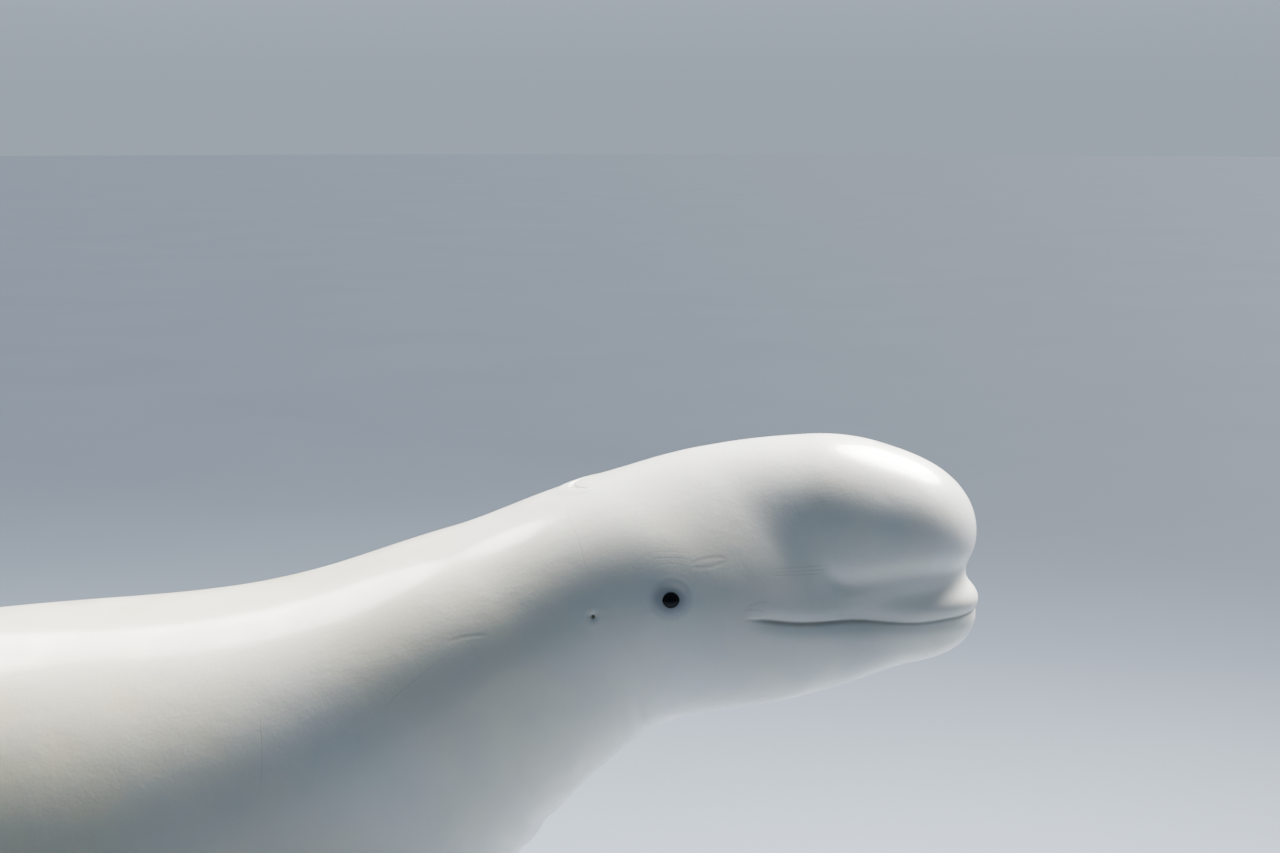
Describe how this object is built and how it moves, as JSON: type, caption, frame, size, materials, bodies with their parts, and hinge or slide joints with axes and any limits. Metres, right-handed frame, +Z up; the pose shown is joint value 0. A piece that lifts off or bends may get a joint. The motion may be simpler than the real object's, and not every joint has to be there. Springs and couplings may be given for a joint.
{
  "type": "beluga whale",
  "caption": "Life-size still beluga whale with its head lifted, held level over a flat display base by two short rods.",
  "frame": {"origin": "centre of the underside of the stand's base", "axes": "+X towards the whale's snout, +Y to the whale's left, +Z up"},
  "size_m": [3.5329, 1.0324, 1.194],
  "materials": {
    "skin": "wet satin",
    "eye": "wet gloss",
    "stand_board": "dark satin stain",
    "stand_metal": "brushed"
  },
  "bodies": {
    "root": {"head": "skin", "lower_jaw": "skin", "melon": "skin", "neck": "skin", "chest": "skin", "trunk": "skin", "loin": "skin", "tail_stock": "skin", "peduncle": "skin", "fluke_root": "skin", "flipper_left": "skin", "flipper_right": "skin", "fluke_left": "skin", "fluke_right": "skin", "dorsal_ridge": "skin", "eye_left": "eye", "eye_right": "eye", "stand_base": "stand_board", "stand_rod_front": "stand_metal", "stand_rod_rear": "stand_metal", "stand_collar_front": "stand_metal", "stand_collar_rear": "stand_metal"}
  },
  "joints": []
}
